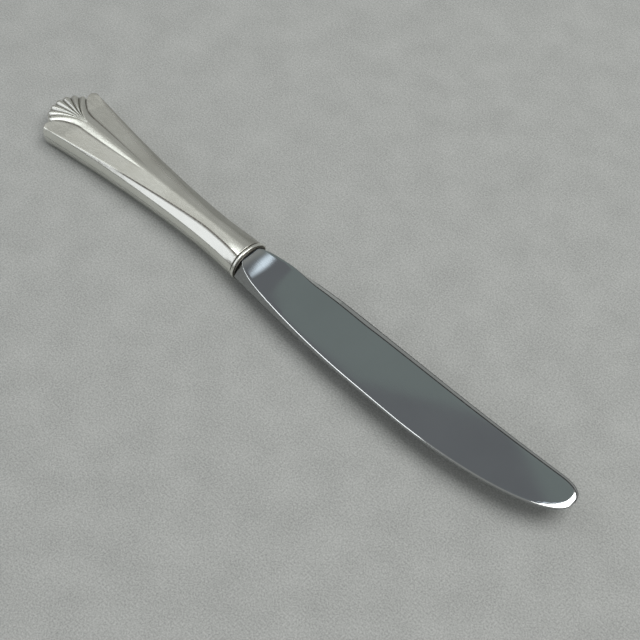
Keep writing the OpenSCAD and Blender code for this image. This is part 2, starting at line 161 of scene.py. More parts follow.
def panelHalf(x):
    h = handle
    flare = h["buttW"] - h["panelInset"] - h["panelNeckW"]
    return (h["panelNeckW"] + flare * pastWaist(x) ** h["panelCurve"]
            + (h["panelMouthW"] - h["panelNeckW"]) * toMouth(x))


def crown(x):
    return mix(knife["buttT"], knife["neckT"], x / shellEnd) - knife["seam"] / 2


def bevelZ(x):
    h = handle
    toButt = clamp01((shellEnd - x) / (shellEnd - cornerX))
    return mix(h["bevelNeckZ"], crown(x) - h["panelDrop"] - h["bevelButt"], toButt ** h["bevelCurve"])


def alongStem(x):
    return clamp01((x - throatX) / handle["stemL"])


def stemHalf(x):
    return mix(handle["stemW"], 2 * handle["crestHalf"], alongStem(x) ** handle["stemCurve"])


def panelW(x):
    return panelHalf(x) - stemHalf(x)


def stemY(a, half):
    if a < rimC:
        return handle["crestHalf"] * a / rimC
    return mix(handle["crestHalf"], half, (a - rimC) / (1 - rimC))


# 1 on a lobe's ridge and 0 in the grooves
def lobe(c):
    return abs(sin(pi * handle["lobes"] * (c + 1) / 2)) ** handle["lobeCurve"]


# v is -1 to 1 over the fan and stem, on to 2 over a panel and 3 over a bevel;
# t is 0 at the butt's rim and 1 from the throat on. The inside has no lobes.
def stemPoint(t, x, v, inside):
    h = handle
    a, s = abs(v), side(v)
    flank = clamp01((a - rimC) / (1 - rimC)) ** h["flankCurve"]
    half = stemHalf(x)
    y = s * stemY(a, half)
    crest = knife["land"] * (1 - (y / half) ** 2)
    if t >= 1:
        drop = h["stemH"] * (1 - alongStem(x) ** 2)
        return Vector((x, y, crown(x) + crest - drop * flank))
    up = 0 if inside else lobe(v)
    r = h["fanR"] - h["scallop"] * (1 - up)
    angle = radians(h["fanSpan"] * v)
    end = Vector((fanX - r * cos(angle), r * sin(angle)))
    pull = Vector((fanX + h["throatOff"] * h["throatPull"][0], h["throatPull"][1] * y))
    p = bez(end, pull, Vector((throatX, y)), t)
    curl = h["fanDrop"] * clamp01(1 - t / h["dropTo"]) ** 2
    start, run = h["fanFade"]
    z = mix(-curl - h["lobeH"] * (1 - up), crest - h["stemH"] * flank, ease((t - start) / run))
    return Vector((p.x, p.y, crown(p.x) + z))


def topPoint(t, x, v, inside=False):
    h = handle
    a, s = abs(v), side(v)
    rolled = h["endRoll"] * clamp01(1 - t / h["rollTo"]) ** 2
    fall = min(h["panelFall"] * panelW(x), h["panelDrop"])
    arris = Vector((x, s * panelHalf(x), crown(x) - fall - rolled))
    if a <= 1:
        p = stemPoint(t, x, v, inside)
    elif a <= 2:
        q = a - 1
        hump = 4 * q * (1 - q)
        bow = (1 - abs(2 * q - 1) ** h["endCurve"]) * (1 - t) ** h["endFadeCurve"]
        sag = h["panelSag"] * panelW(x) * hump * ease(t / h["sagFrom"])
        inner = stemPoint(t, x, s, inside)
        inner.z = max(inner.z, crown(inner.x) - h["panelStep"])
        p = mix(inner, arris, q) + Vector((-h["endBow"][0] * bow, s * h["endBow"][1] * bow, -sag))
    else:
        p = mix(arris, Vector((x, s * rimHalf(x), bevelZ(x) - rolled)), a - 2)
    # the neck rounds into the mouth's oval
    oval = crown(x) * sqrt(max(1 - (p.y / mouthOval) ** 2, 0))
    p.z = mix(p.z, min(p.z, oval), ease((p.x - neckEnd) / h["mouthRun"]))
    return p


# The side wall under p, f of the way down to the seam
def wallPoint(p, f):
    d = Vector((min(p.x - fanX - handle["wallTurn"], 0), p.y))
    d = d.normalized() * handle["bulge"] * (1 - (1 - f) ** 2)
    return Vector((p.x + d.x, p.y + d.y, p.z * (1 - f)))


# The lobes roll over further than the panels do
def endSoft(v):
    return mix(handle["lobeSoft"], handle["endSoft"], ease((abs(v) - 1) / handle["lobeBlend"]))


# Where the top stops short of the butt's rim, to leave room for its rounding
def endInset(v):
    step = 0.004
    run = topPoint(step, mix(cornerX, throatX, step), v) - topPoint(0, cornerX, v)
    return min(endSoft(v) * step / run.length, handle["endReach"])


# A row is (place between rim and throat, x past the throat, how far it is drawn in)
def rowPoint(row, v, inside):
    if row[0] < 1:
        t = mix(endInset(v), 1, row[0])
        return topPoint(t, mix(cornerX, throatX, t), v, inside)
    return topPoint(1, row[1], v, inside)


def shellRows():
    h = handle
    soft = h["mouthSoft"]
    softStart = shellEnd - soft
    rows = [((i / h["fanRows"]) ** h["fanRowCurve"], 0, 0) for i in range(h["fanRows"])]
    spans = [(throatX, stemEnd, h["stemRows"]), (stemEnd, neckEnd, h["neckRows"]),
             (neckEnd, softStart, h["mouthRows"])]
    rows += [(1, mix(a, b, i / n), 0) for a, b, n in spans for i in range(n)]
    for i in range(h["lipRows"] + 1):
        turn = radians(90 * i / h["lipRows"])
        rows.append((1, softStart + soft * sin(turn), soft * (1 - cos(turn))))
    return rows


# Half a row, from the axis out to the rim, with each crease rounded; v comes along for the grime and
# painted shade
def halfRow(row, s, inside):
    h = handle
    step = 0.01

    def at(v):
        return rowPoint(row, s * v, inside)

    # how far along v a rounding reaches to one side of a crease
    def reach(v, dv, soft, most):
        return min(soft * abs(dv) / max((at(v + dv) - at(v)).length, tiny), most)

    stemIn = reach(1, -step / 2, h["stemSoft"], h["stemReach"][0])
    stemOut = reach(1, step, h["stemSoft"], h["stemReach"][1])
    arrisIn = reach(2, -step, h["arrisSoft"], h["arrisReach"][0])
    arrisOut = reach(2, step, h["arrisSoft"], h["arrisReach"][1])
    rimIn = reach(3, -step, h["rimSoft"], h["rimReach"])
    stemCols = h["lobeCols"] * h["lobes"] // 2
    places = [i / stemCols for i in range(stemCols)] + [1 - stemIn]
    line = [(at(v), v) for v in places]

    def rounded(crease, before, after):
        a, b, c = at(crease - before), at(crease), at(crease + after)
        line.extend((bez(a, b, c, f), crease) for f in steps(h["softCols"]))

    def across(start, end, cols):
        for f in steps(cols):
            v = mix(start, end, f)
            line.append((at(v), v))

    rounded(1, stemIn, stemOut)
    across(1 + stemOut, 2 - arrisIn, h["panelCols"])
    rounded(2, arrisIn, arrisOut)
    across(2 + arrisOut, 3 - rimIn, h["bevelCols"])
    return line


# Darkening on the handle, 0 none to 1 black: painted shade at the foot of the fan and stem, a painted
# dark reflection line along the back's arris, painted shade on the far bevel, tarnish and painted shade
# in the lobes' grooves and at the mouth, and a dark line at the seam
handleDarkening = {
    "grooveFade": (0.35, 0.6),                        # start and run of the tarnish and painted shade in the lobes' grooves fading out
    # painted shade in the crease at the foot of the fan and of the stem
    "fanFoot": 0.95, "stemFoot": 0.8, "footNear": 0.02,
    "bevelLine": (28, 8), "lineNear": 0.01,           # start and run of the painted dark reflection line at the back's bevel
    "farShade": 0.55, "farShadeRun": 4,                 # painted shade, a dark reflection, on the bevel along the cutting edge's side
    "farShadeFrom": (1.8, 1.3), "farShadeTo": 2.1, "farShadeShift": 40,    # across it, wider to the mouth
    # painted shade and tarnish at the mouth, in the groove beside the collar's bead
    "mouth": 0.8, "mouthRun": 0.25,
    "wallFade": 0.4, "seam": 0.25, "seamFrom": (0.9, 0.1),
}


def grimeAndShadeAt(row, v, f=0.0):
    w = handleDarkening
    a = abs(v)
    onFan = row[0] < 1
    x = mix(cornerX, throatX, row[0]) if onFan else row[1]
    value = 0.0
    # tarnish and painted shade in the lobes' grooves, fading toward the throat
    if onFan and a <= 1:
        start, run = w["grooveFade"]
        value = (1 - lobe(v)) ** 2 * (1 - ease((row[0] - start) / run))
    # painted shade in the crease at the foot of the fan and of the stem
    if abs(a - 1) < w["footNear"]:
        value = max(value, w["fanFoot"] if onFan else w["stemFoot"] * (1 - alongStem(x) ** 2))
    # a painted dark reflection line along the back side's arris, growing toward the mouth
    if abs(a - 2) < w["lineNear"] and v < 0:
        start, run = w["bevelLine"]
        value = ease((x - start) / run)
    # painted shade, a dark reflection, on the far bevel on the cutting edge's side of both halves
    if v > 1:
        start = mix(*w["farShadeFrom"], ease((x - cornerX) / w["farShadeShift"]))
        growth = ease((v - start) / (w["farShadeTo"] - start))
        value = max(value, w["farShade"] * growth * ease((x - cornerX) / w["farShadeRun"]))
    # painted shade and tarnish at the mouth, in the groove beside the collar's bead
    if not onFan:
        value = max(value, w["mouth"] * ease((x - shellEnd + w["mouthRun"]) / w["mouthRun"]))
    start, run = w["seamFrom"]
    return max(value * (1 - w["wallFade"] * f), w["seam"] * clamp01((f - start) / run))


# One skin of a half: the top as rows of points, the rounded rim and wall as columns down to the seam
def shellSkin(inside):
    h = handle
    rows = shellRows()

    # the inner skin lies one sheet further in
    def drawnIn(p, row):
        if inside:
            p.y -= side(p.y) * h["sheet"] * min(abs(p.y) / rimHalf(max(p.x, cornerX)), 1)
            p.x += h["sheet"] * (1 - row[0])
            p.z -= h["sheet"]
        return p

    # the outer skin rounds over at the mouth
    def pulled(p, row):
        if row[2] and not inside:
            k = 1 - row[2] / hypot(p.y, p.z)
            return Vector((p.x, p.y * k, p.z * k))
        return p

    top, dirtAndShade, cols = [], [], []
    for row in rows:
        left, right = halfRow(row, -1, inside), halfRow(row, 1, inside)
        line = [(p, -v) for p, v in reversed(left[1:])] + right
        top.append([pulled(drawnIn(p, row), row) for p, v in line])
        dirtAndShade.append([grimeAndShadeAt(row, v) for p, v in line])
        cols = [v for p, v in line]
    lastRow, lastCol = len(rows) - 1, len(cols) - 1
    keys = [(i, 0) for i in range(lastRow, -1, -1)]
    keys += [(0, j) for j in range(1, lastCol + 1)]
    keys += [(i, lastCol) for i in range(1, lastRow + 1)]
    wall, wallDirtAndShade = [], []
    for i, j in keys:
        row, atButt = rows[i], i == 0
        v = 3 * side(cols[j]) if j in (0, lastCol) else cols[j]
        corner = topPoint(0, cornerX, v, inside) if atButt else rowPoint(row, v, inside)
        corner = drawnIn(corner, row)
        start = (endSoft(v) if atButt else h["rimSoft"]) / max(corner.z, 1)
        low = wallPoint(corner, start)
        line, marks = [], []
        for f in steps(h["softCols"]):
            line.append(bez(top[i][j], pulled(corner, row), pulled(low, row), f))
            marks.append(grimeAndShadeAt(row, v))
        for f in steps(h["wallRows"]):
            down = mix(start, 1, f)
            line.append(pulled(wallPoint(corner, down), row))
            marks.append(grimeAndShadeAt(row, v, down))
        wall.append(line)
        wallDirtAndShade.append(marks)
    return top, dirtAndShade, keys, wall, wallDirtAndShade


# The faces of a skin whose first point is number base, and its open borders at the mouth and seam
def skinFaces(base, rows, cols, levels, keys):
    wallBase = base + rows * cols
    lastKey = len(keys) - 1

    def topId(i, j):
        return base + i * cols + j

    def wallId(k, level):
        return wallBase + k * levels + level - 1 if level else topId(*keys[k])

    faces = [(topId(i, j), topId(i + 1, j), topId(i + 1, j + 1), topId(i, j + 1))
             for i in range(rows - 1) for j in range(cols - 1)]
    faces += [(wallId(k, n), wallId(k, n + 1), wallId(k + 1, n + 1), wallId(k + 1, n))
              for k in range(lastKey) for n in range(levels)]
    mouth = [wallId(0, n) for n in range(levels, 0, -1)]
    mouth += [topId(rows - 1, j) for j in range(cols)]
    mouth += [wallId(lastKey, n) for n in range(1, levels + 1)]
    seam = [wallId(k, levels) for k in range(len(keys))]
    return faces, mouth, seam


def shellMesh():
    points, grimeAndShade, faces, borders = [], [], [], []
    for inside in (False, True):
        top, dirtAndShade, keys, wall, wallDirtAndShade = shellSkin(inside)
        skin, mouth, seam = skinFaces(len(points), len(top), len(top[0]), len(wall[0]), keys)
        for line, marks in zip(top + wall, dirtAndShade + wallDirtAndShade):
            points += line
            grimeAndShade += marks
        faces += skin
        borders.append((mouth, seam))
    for outer, inner in zip(*borders):
        faces += [(outer[k], outer[k + 1], inner[k + 1], inner[k]) for k in range(len(outer) - 1)]
    lifted = [Vector((p.x, p.y, p.z + knife["seam"] / 2)) for p in points]
    seamEdges = [(points[a], points[b]) for a, b in zip(borders[0][1], borders[1][1])]
    return lifted, faces, grimeAndShade, seamEdges


shellPoints, shellFaces, shellGrimeAndShade, seamEdges = shellMesh()
handleFront = makePiece("handleFront", shellPoints, shellFaces, shellGrimeAndShade)
handleBack = makePiece("handleBack", shellPoints, shellFaces, shellGrimeAndShade, flip=True)
print("handle halves:", len(shellPoints), "points each")

# Solder line between the halves, set back by a hair
solder = {"setBack": 0.02, "grimeAndShade": 0.35}


def solderMesh():
    points, faces = [], []
    for outer, inner in seamEdges:
        back = (inner - outer).normalized() * solder["setBack"]
        for p in (outer + back, inner):
            for z in (-knife["seam"] / 2, knife["seam"] / 2):
                points.append((p.x, p.y, z))
    for k in range(len(seamEdges) - 1):
        a, b = 4 * k, 4 * k + 4
        for i, j in ((0, 1), (1, 3), (3, 2), (2, 0)):
            faces.append((a + i, a + j, b + j, b + i))
    faces.append((0, 1, 3, 2))
    faces.append(tuple(len(points) - 4 + i for i in (0, 2, 3, 1)))
    return points, faces, [solder["grimeAndShade"]] * len(points)


seamLine = makePiece("seamLine", *solderMesh())

# Collar: a rolled lip at the mouth with a sleeve inside the halves
collar = {
    "proud": 0.35, "under": 0.01, "beadAt": 0.3,      # the bead beside the handle's width and crest
    "roll": 0.45, "lipAt": 0.46, "lipHalf": 0.31, "lipCurve": 4, "footFrom": 0.9,
    "holeW": 4.02, "holeT": 3.54, "chamfer": 0.1, "sleeve": 3.2, "sleeveWall": 0.36,
    "around": 144, "lipRows": 18,
}


def collarMesh():
    c = collar
    front, back = knife["handle"], shellEnd
    beadW = handle["mouthW"] + handle["bulge"] + c["proud"]
    beadT = crown(back + knife["bead"] * c["beadAt"]) + knife["seam"] / 2 + knife["land"] - c["under"]
    # x, half width, half thickness and painted shade (black on the faces in the joints, darker at the
    # lip's two feet), all the way round the profile
    profile = [(back, beadW - c["roll"], beadT - c["roll"], 1)]
    for i in range(c["lipRows"] + 1):
        e = -cos(pi * i / c["lipRows"])               # closer together at the lip's two feet
        x = back + knife["bead"] * (c["lipAt"] + c["lipHalf"] * e)
        fall = c["roll"] * (1 - sqrt(max(1 - abs(e) ** c["lipCurve"], 0)))
        # painted shade and tarnish at the lip's two feet
        dark = clamp01((abs(e) - c["footFrom"]) / (1 - c["footFrom"]))
        profile.append((x, beadW - fall, beadT - fall, dark))
    sleeveW, sleeveT = c["holeW"] + c["sleeveWall"], c["holeT"] + c["sleeveWall"]
    profile += [(front, beadW - c["roll"], beadT - c["roll"], 1),
                (front, beadW - 2 * c["roll"], beadT - 2 * c["roll"], 1),
                (front, c["holeW"] + c["chamfer"], c["holeT"] + c["chamfer"], 1),
                (front - c["chamfer"], c["holeW"], c["holeT"], 1),
                (back - c["sleeve"], c["holeW"], c["holeT"], 1),
                (back - c["sleeve"], sleeveW, sleeveT, 1),
                (back, sleeveW, sleeveT, 1)]
    n, m = c["around"], len(profile)
    points, grimeAndShade, faces = [], [], []
    for x, w, t, dark in profile:
        for i in range(n):
            a = 2 * pi * i / n
            points.append((x, w * cos(a), t * sin(a)))
            grimeAndShade.append(dark)
    for r in range(m):
        for i in range(n):
            j, q = (i + 1) % n, (r + 1) % m
            faces.append((r * n + i, r * n + j, q * n + j, q * n + i))
    return points, faces, grimeAndShade


mouthCollar = makePiece("mouthCollar", *collarMesh())
print("collar and seam done")

# Blade, bolster and tang: one forging. Stations are measured from the end of the handle.
blade = {
    "bolsterW": 5.75, "bolsterT": 3.7, "jointGap": 0.3, "jointDepth": 0.5, "jointChamfer": 0.08,
    "edgeW": 7.9, "edgeRise": 0.7, "riseShare": 0.35, "heelShare": 0.28, "heelCurve": 1.3,
    "backW": 8.1, "backShare": 0.42, "fallShare": 0.44, "backCurve": (1.8, 2.2),
    "pointY": 4.6, "tipL": 6.0, "tipCurve": 2.6, "noseL": 0.8, "noseFall": 0.96,
    "rootT": 1.05, "pointT": 0.5, "edgeT": 0.1, "shoulderShare": 0.42,
    "fillet": 8.0, "filletH": 0.54,
    "sideW": 3.4, "sideFade": 2.5, "sideMost": 0.4, "sideFoot": 0.05, "sidePull": (0.3, 0.45),
    "grindStart": 8.0, "grindRun": 10.0, "grindRatio": 2.0, "grindW": 1.65,
    "faceFall": 0.018, "fallIn": 12, "fallOut": (16, 26),           # toward the edge, past the shoulder
    "tipRound": 1.6, "tipFall": 0.5, "tipY": 4.8, "tipBow": (0.11, 0.13),
    "tangL": 40.0, "tangW": 2.8, "tangEndW": 1.7, "tangT": 1.3, "tangChamfer": 0.15,
    "edgeSoft": (0.2, 0.14), "backSoft": (0.3, 0.2),                # roundings, on face and side
    "edgeMost": (0.3, 0.4), "backMost": (0.4, 0.7), "sideReach": (0.4, 0.6),
    "crisp": 0.4, "crispRun": 12,                                   # the back's, beside the joint
    "sideCols": 9, "softCols": 7, "faceCols": 14,
    "rootL": 3, "spanRows": (12, 14, 20, 14, 8, 26), "tipRows": (0.9965, 0.9985, 0.9995),
    "jointShade": 0.6, "jointFade": 0.12, "sideShade": 0.5, "edgeShade": 0.95,
    "backSpread": 3, "edgeSpread": 2,                               # columns of points that take the painted shade
}
bladeL = knife["length"] - knife["handle"]
tipStart = bladeL - blade["tipL"]
fallStart = bladeL * (1 - blade["fallShare"])


def edgeY(s):
    b = blade
    near = min(s, tipStart)
    heel = sin(pi / 2 * clamp01(near / (bladeL * b["heelShare"]))) ** b["heelCurve"]
    straight = mix(b["bolsterW"], b["edgeW"], heel)
    straight += b["edgeRise"] * clamp01(1 - (tipStart - near) / (bladeL * b["riseShare"])) ** 2
    u = clamp01((s - tipStart) / b["tipL"])
    return mix(b["pointY"], straight, (1 - u ** b["tipCurve"]) ** (1 / b["tipCurve"]))


def backY(s):
    b = blade
    if s < fallStart:
        return mix(b["bolsterW"], b["backW"], sin(pi / 2 * clamp01(s / (bladeL * b["backShare"]))))
    u = clamp01((s - fallStart) / (bladeL - fallStart))
    start, end = b["backCurve"]
    return (b["backW"] + b["pointY"]) * (1 - u ** start) ** (1 / end) - b["pointY"]


def faceT(s):
    b = blade
    rise = b["bolsterT"] - b["rootT"] - b["filletH"]
    return (mix(b["rootT"], b["pointT"], s / bladeL)
            + rise * clamp01(1 - s / (bladeL * b["shoulderShare"])) ** 2
            + b["filletH"] * clamp01(1 - s / b["fillet"]) ** 2)


# The face rolls off toward the point, along a bowed line
def tipFall(s, y):
    b = blade
    backBow, edgeBow = b["tipBow"]
    bow = edgeBow if y > b["tipY"] else backBow
    past = s + bow * (y - b["tipY"]) ** 2 - bladeL + b["tipRound"]
    return 1 - b["tipFall"] * clamp01(past / b["tipRound"]) ** 2


def faceFall(s):
    start, run = blade["fallOut"]
    return blade["faceFall"] * ease(s / blade["fallIn"]) * (1 - ease((s - start) / run))


def groundAt(s):
    return ease((s - blade["grindStart"]) / blade["grindRun"])


# Half a section from the edge over the face to the back, as (y, z), with both arrises rounded
def halfSection(s):
    b = blade
    nose = sqrt(1 - clamp01((s - bladeL + b["noseL"]) / b["noseL"]) ** 2 * b["noseFall"])
    t = faceT(s) * nose
    ground = groundAt(s)
    most = (edgeY(s) + backY(s)) * b["sideMost"]
    cutW = min(b["grindRatio"] * (faceT(s) - b["edgeT"]), b["grindW"], most)
    sideW = min(b["sideW"] / (1 + s / b["sideFade"]), most)
    sideFoot = Vector((0, b["sideFoot"] * t))
    sidePull = Vector((b["sidePull"][0] * sideW, b["sidePull"][1] * t))

    def sideAt(f):
        return bez(sideFoot, sidePull, Vector((sideW, t)), f)

    def edgeAt(f):
        p = sideAt(f)
        cut = Vector((edgeY(s) - cutW * f, mix(min(b["edgeT"], t / 2), t, f)))
        return mix(Vector((edgeY(s) - p.x, p.y)), cut, ground)

    def backAt(f):
        p = sideAt(1 - f)
        return Vector((p.x - backY(s), p.y))

    faceW = max(edgeAt(1).x - backAt(0).x, 0)

    # a rounding keeps to its share of the face and of the side
    def limited(soft, shares, grown=1):
        return [min(a * grown, share * room) for a, share, room in zip(soft, shares, (faceW, t))]

    edgeOn, edgeDown = limited(b["edgeSoft"], b["edgeMost"])
    grown = mix(b["crisp"], 1, ease(s / b["crispRun"]))
    backOn, backDown = limited(b["backSoft"], b["backMost"], grown)
    step = 0.02
    edgeRun, backRun = (edgeAt(1) - edgeAt(1 - step)).length, (backAt(step) - backAt(0)).length
    edgeIn = min(edgeDown * step / max(edgeRun, tiny), b["sideReach"][0])
    backIn = min(backDown * step / max(backRun, tiny), b["sideReach"][1])
    faceStart, faceEnd = edgeAt(1) - Vector((edgeOn, 0)), backAt(0) + Vector((backOn, 0))
    sideSteps, softSteps = steps(b["sideCols"]), steps(b["softCols"])
    line = [edgeAt(mix(0, 1 - edgeIn, f)) for f in [0] + sideSteps]
    line += [bez(line[-1], edgeAt(1), faceStart, f) for f in softSteps]
    line += [mix(faceStart, faceEnd, f) for f in steps(b["faceCols"])]
    line += [bez(faceEnd, backAt(0), backAt(backIn), f) for f in softSteps]
    line += [backAt(mix(backIn, 1, f)) for f in sideSteps]
    fall = faceFall(s) / t
    return [Vector((p.x, p.y * tipFall(s, p.x) * (1 - fall * (p.x + backY(s))))) for p in line]


def fullSection(s):
    half = halfSection(s)
    x = knife["handle"] + s
    return [Vector((x, p.x, p.y)) for p in half] + [Vector((x, p.x, -p.y)) for p in reversed(half)]


def sizedRing(ring, x, w, t):
    wide, thick = max(abs(p.y) for p in ring), max(abs(p.z) for p in ring)
    return [Vector((x, p.y * w / wide, p.z * t / thick)) for p in ring]


def bladeStations():
    b = blade
    grindEnd, shoulderEnd = b["grindStart"] + b["grindRun"], bladeL * b["shoulderShare"]
    ends = [b["jointGap"], b["rootL"], b["grindStart"], grindEnd, shoulderEnd, fallStart, tipStart]
    stations = [mix(a, c, i / n) for a, c, n in zip(ends, ends[1:], b["spanRows"]) for i in range(n)]
    stations += [tipStart + b["tipL"] * sin(radians(a)) for a in range(0, 84, 4)]   # round the tip
    return stations + [tipStart + b["tipL"] * f for f in b["tipRows"]]


def bladeMesh():
    b = blade
    joint, chamfer, tangChamfer = b["jointGap"], b["jointChamfer"], b["tangChamfer"]
    first = fullSection(joint)
    start = knife["handle"]
    tangEnd = start - b["tangL"]
    inW, inT = b["bolsterW"] - b["jointDepth"], b["bolsterT"] - b["jointDepth"]
    sized = [(tangEnd, b["tangEndW"] - tangChamfer, b["tangT"] - tangChamfer, 1),
             (tangEnd + tangChamfer, b["tangEndW"], b["tangT"], 1),
             (start, b["tangW"], b["tangT"], 1),
             (start, inW, inT, 1),
             (start + joint, inW, inT, 1),
             (start + joint, b["bolsterW"] - chamfer, b["bolsterT"] - chamfer, b["jointShade"])]
    # each ring with its painted shade all round and its painted dark reflection on the ground edge
    rings = [(sizedRing(first, x, w, t), dark, 0) for x, w, t, dark in sized]
    for s in [joint + chamfer] + bladeStations()[1:]:
        # painted shade at the joint gap, fading out along the bolster
        dark = b["jointShade"] * exp(-((s - joint) / b["jointFade"]) ** 2)
        rings.append((fullSection(s), dark, b["edgeShade"] * groundAt(s)))
    n = len(first)
    half = n // 2
    arris = range(b["sideCols"], b["sideCols"] + b["softCols"])
    points, grimeAndShade = [], []
    for ring, dark, edge in rings:
        points += ring
        for i in range(n):
            k = min(i, n - 1 - i)                                   # the same place on both faces
            # a painted dark reflection on the back's side wall
            onBack = k > half - b["sideCols"] - b["backSpread"]
            # a painted dark reflection along the ground edge and its arris
            onEdge = k < b["edgeSpread"] or k in arris
            grimeAndShade.append(max(dark, b["sideShade"] if onBack else 0, edge if onEdge else 0))
    faces = [(r * n + i, r * n + (i + 1) % n, (r + 1) * n + (i + 1) % n, (r + 1) * n + i)
             for r in range(len(rings) - 1) for i in range(n)]
    for base in (0, (len(rings) - 1) * n):                          # end caps, strips from face to face
        faces += [(base + i, base + i + 1, base + n - 2 - i, base + n - 1 - i) for i in range(half - 1)]
    return points, faces, grimeAndShade


knifeBlade = makePiece("knifeBlade", *bladeMesh())
print("blade done:", len(knifeBlade.data.vertices), "points")


def newFinish(name):
    finish = bpy.data.materials.new(name)
    finish.use_nodes = True
    finish.node_tree.nodes.clear()
    return finish


# Adds a node; an input is a fixed value or another node's socket
def add(tree, kind, inputs=None, **settings):
    node = tree.nodes.new(kind)
    for key, value in settings.items():
        setattr(node, key, value)
    for key, value in (inputs or {}).items():
        if isinstance(value, bpy.types.NodeSocket):
            tree.links.new(value, node.inputs[key])
        else:
            node.inputs[key].default_value = value
    return node


def objectPlace(tree):
    return add(tree, "ShaderNodeTexCoord").outputs["Object"]


def calc(tree, operation, a, b=0.0):
    return add(tree, "ShaderNodeMath", {0: a, 1: b}, operation=operation).outputs[0]


def ramp(tree, source, low, high, fromMin=0.0, fromMax=1.0):
    limits = {"From Min": fromMin, "From Max": fromMax, "To Min": low, "To Max": high}
    return add(tree, "ShaderNodeMapRange", {"Value": source, **limits}).outputs["Result"]


# A noise seldom nears 0 or 1, so its middle part is drawn out
def spread(tree, noise, low, high, margin=0.3):
    return ramp(tree, noise, low, high, margin, 1 - margin)


def blendColour(tree, factor, a, b):
    return add(tree, "ShaderNodeMix", {0: factor, 6: a, 7: b}, data_type="RGBA").outputs[2]


# Fine lines along one direction: noise drawn out, in lines for each millimetre
def drawnLines(tree, place, turn, along, across):
    perMetre = [1000 * n for n in (along, across, across)]
    mapping = add(tree, "ShaderNodeMapping", {"Vector": place, "Rotation": (0, 0, radians(turn)),
                                              "Scale": perMetre})
    lines = add(tree, "ShaderNodeTexNoise", {"Vector": mapping.outputs["Vector"], "Scale": 1.0,
                                             "Detail": 2.0, "Roughness": 0.6})
    return lines.outputs["Fac"]


def cloud(tree, place, perMm, detail=4.0):
    noise = add(tree, "ShaderNodeTexNoise", {"Vector": place, "Scale": perMm * 1000, "Detail": detail,
                                             "Roughness": 0.55})
    return noise.outputs["Fac"]


def bumps(tree, height, strength, depth):
    node = add(tree, "ShaderNodeBump", {"Height": height, "Strength": strength, "Distance": depth})
    return node.outputs["Normal"]


def coat(tree, inputs):
    shader = add(tree, "ShaderNodeBsdfPrincipled", inputs)
    add(tree, "ShaderNodeOutputMaterial", {"Surface": shader.outputs["BSDF"]})


# Polished metal with fine crossing lines, darkened where the grime-and-shade values say: real tarnish
# and dirt, and painted shade and painted dark reflections
def metalFinish(name, look):
    finish = newFinish(name)
    tree = finish.node_tree
    place = objectPlace(tree)
    grimeAndShade = add(tree, "ShaderNodeAttribute", attribute_name="grimeAndShade").outputs["Fac"]
    patches = cloud(tree, place, look["patchScale"])
    broken = spread(tree, cloud(tree, place, look["dirtShadeScale"]), *look["dirtShadeBreak"])
    dirtAndShade = calc(tree, "MINIMUM", calc(tree, "MULTIPLY", grimeAndShade, broken), 1.0)
    colour = blendColour(tree, spread(tree, patches, 0, 1), look["colour"], look["colour2"])
    # the grime colour paints real dirt and painted shade where the mask says
    colour = blendColour(tree, dirtAndShade, colour, look["grimeAndShade"])
    marks = []
    for turn in (look["lineTurn"], look["lineTurn"] + look["crossTurn"]):
        lines = drawnLines(tree, place, turn, look["lineAlong"], look["lineAcross"])
        marks.append(spread(tree, lines, 0, 0.5, 0.35))
    both = calc(tree, "ADD", *marks)
    rough = calc(tree, "ADD", spread(tree, patches, *look["rough"]),
                 ramp(tree, both, -look["lineRough"], look["lineRough"]))
    rough = calc(tree, "ADD", rough, calc(tree, "MULTIPLY", dirtAndShade, look["dirtShadeRough"]))
    fine = cloud(tree, place, look["fineScale"], 2.0)
    height = calc(tree, "ADD", both, calc(tree, "MULTIPLY", fine, look["fineShare"]))
    if look["ripple"]:                                # soft unevenness left by the polishing
        ripple = cloud(tree, place, look["rippleScale"], 2.0)
        height = calc(tree, "ADD", height, calc(tree, "MULTIPLY", ripple, look["ripple"]))
    coat(tree, {"Base Color": colour, "Metallic": 1.0, "Roughness": rough,
                "Normal": bumps(tree, height, look["bump"], look["depth"])})
    return finish


silverLook = {
    "colour": (0.80, 0.80, 0.74, 1), "colour2": (0.86, 0.865, 0.81, 1), "grimeAndShade": (0.16, 0.15, 0.13, 1),
    "dirtShadeScale": 3.0, "dirtShadeBreak": (0.75, 1.15), "dirtShadeRough": 0.25,
    "patchScale": 0.12, "fineScale": 9.0, "fineShare": 0.5, "rough": (0.19, 0.25),
    "lineTurn": 8, "crossTurn": -26, "lineAlong": 0.35, "lineAcross": 9.0, "lineRough": 0.03,
    "bump": 0.03, "depth": 0.00003, "ripple": 45.0, "rippleScale": 0.7,
}
collarLook = dict(silverLook, rough=(0.16, 0.22), patchScale=0.3)
solderLook = dict(silverLook, rough=(0.34, 0.42),
                  colour=(0.58, 0.575, 0.56, 1), colour2=(0.66, 0.655, 0.64, 1))
steelLook = {
    "colour": (0.585, 0.605, 0.605, 1), "colour2": (0.625, 0.645, 0.645, 1),
    "grimeAndShade": (0.05, 0.05, 0.052, 1),
    "dirtShadeScale": 3.0, "dirtShadeBreak": (0.75, 1.15), "dirtShadeRough": 0.25,
    "patchScale": 0.06, "fineScale": 14.0, "fineShare": 0.3, "rough": (0.03, 0.05),
    "lineTurn": 2, "crossTurn": -5, "lineAlong": 0.06, "lineAcross": 7.0, "lineRough": 0.012,
    "bump": 0.008, "depth": 0.00003, "ripple": 0,
}
silver = metalFinish("wornSilver", silverLook)
collarSilver = metalFinish("collarSilver", collarLook)
solderGrey = metalFinish("solderGrey", solderLook)
steel = metalFinish("polishedSteel", steelLook)

cementLook = {
    "colour": (0.36, 0.32, 0.26, 1), "colour2": (0.52, 0.48, 0.41, 1), "rough": 0.88,
    "gritScale": 1.6, "bump": 0.4, "depth": 0.0002,
}


